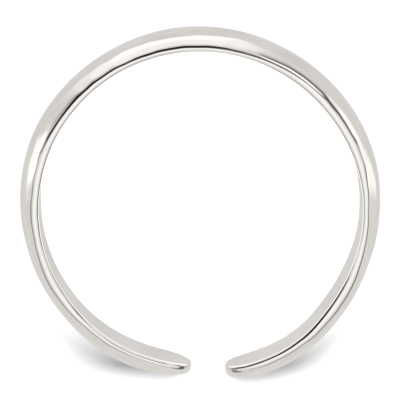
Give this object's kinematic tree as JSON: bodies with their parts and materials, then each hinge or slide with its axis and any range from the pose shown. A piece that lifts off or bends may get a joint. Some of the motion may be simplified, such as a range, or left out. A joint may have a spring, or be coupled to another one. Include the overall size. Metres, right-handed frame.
{
  "type": "toe ring",
  "caption": "Open toe ring: a plain band of half-round silver wire, bent to a ring with a small gap between two rounded tips.",
  "frame": {"origin": "on the axis of the round inside wall, at the level that the ring lies on", "axes": "+Z along the ring's axis, up as it lies on its side; +Y to the crown, opposite the gap; the gap is at -Y"},
  "size_m": [0.0172, 0.0172, 0.003],
  "materials": {
    "silver": "polished sterling silver"
  },
  "bodies": {
    "root": {"band": "silver"}
  },
  "joints": []
}
